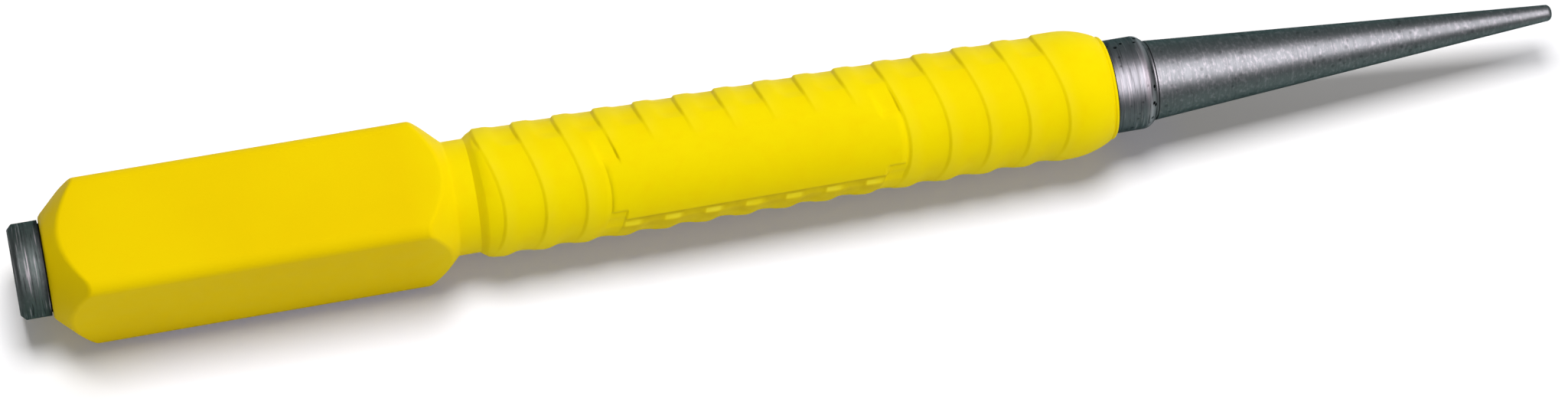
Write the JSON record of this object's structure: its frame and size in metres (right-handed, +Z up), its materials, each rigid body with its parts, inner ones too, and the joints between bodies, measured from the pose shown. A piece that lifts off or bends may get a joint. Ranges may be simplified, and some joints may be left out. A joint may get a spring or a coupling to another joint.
{
  "type": "nail setter",
  "caption": "Slim steel punch with a straight tapered point and a moulded sleeve: a square block that stops it rolling, then a bowed-rib round grip. Struck to sink nail heads below a surface.",
  "frame": {"origin": "on the bench the tool lies on, straight below the middle of its length and below its axis", "axes": "+X along the axis towards the tip, +Z up, with one flat of the square face down"},
  "size_m": [0.14, 0.0116, 0.0115],
  "materials": {
    "steel": "turned bar with a dark heat-treated surface, satin along the ground taper",
    "grip": "yellow moulded vinyl with a soft satin surface"
  },
  "bodies": {
    "root": {"steel_punch": "steel", "grip_sleeve": "grip"}
  },
  "joints": []
}
